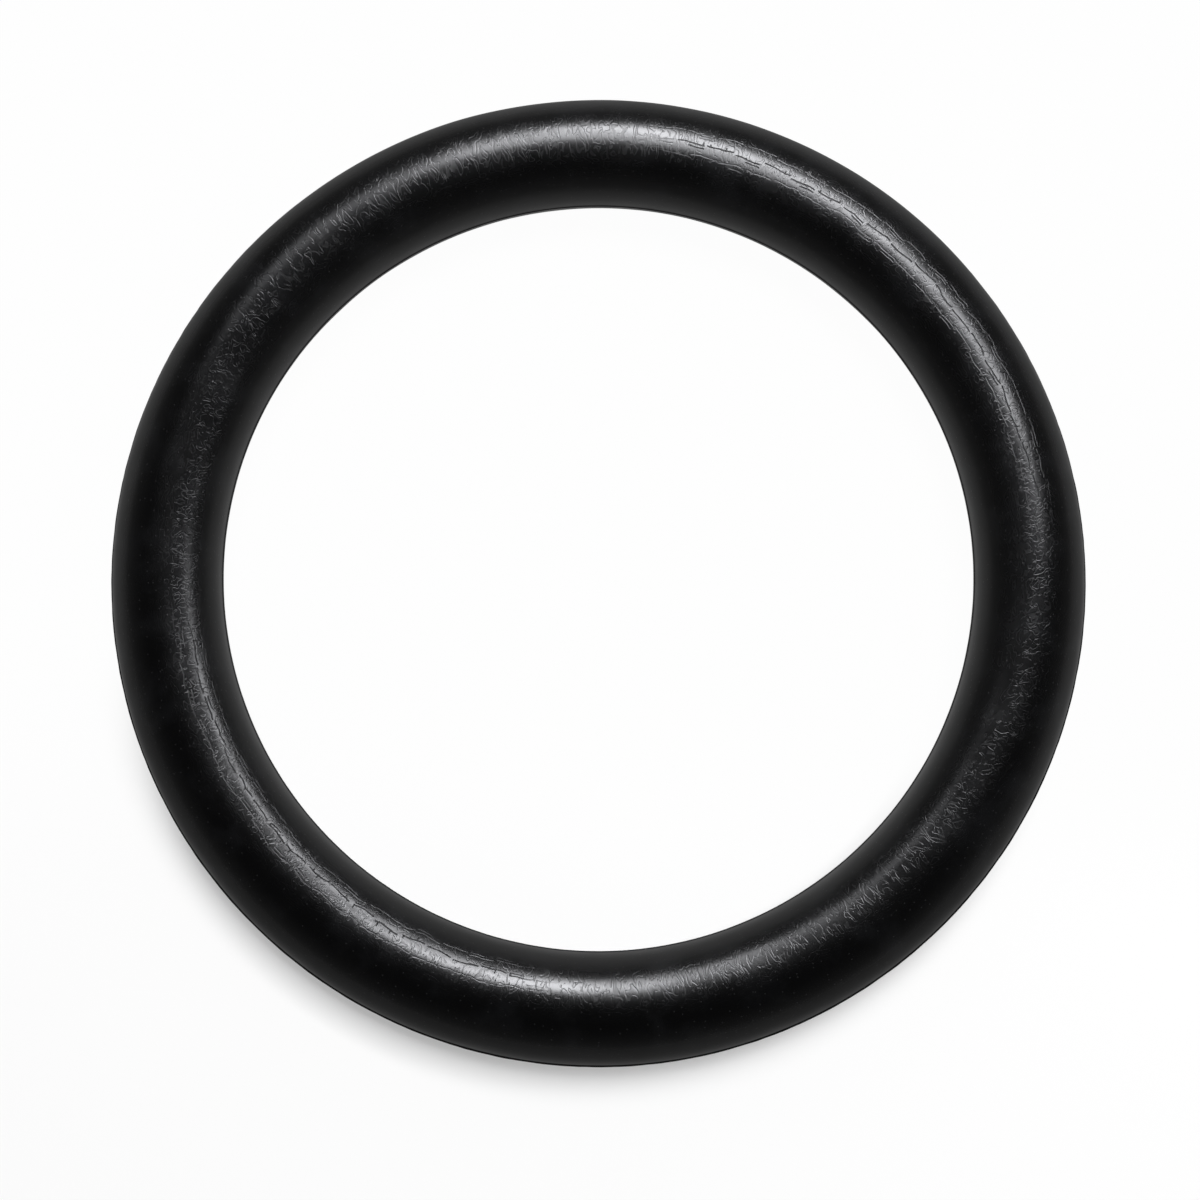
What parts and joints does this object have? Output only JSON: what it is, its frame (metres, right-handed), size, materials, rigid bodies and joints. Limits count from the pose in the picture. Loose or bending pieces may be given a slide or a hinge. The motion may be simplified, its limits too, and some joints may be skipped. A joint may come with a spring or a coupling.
{
  "type": "rubber o-ring",
  "caption": "Plain moulded rubber sealing ring of round section, lying flat, with a fine trimmed moulding line round its inside and outside.",
  "frame": {"origin": "centre of the ring, on the surface it lies on", "axes": "+Z along the ring's axis, straight up from the surface it lies on; X and Y lie in the ring's plane, and +Y points to the top of the picture"},
  "size_m": [0.0312, 0.0312, 0.0035],
  "materials": {
    "rubber": "satin"
  },
  "bodies": {
    "root": {"o_ring": "rubber"}
  },
  "joints": []
}
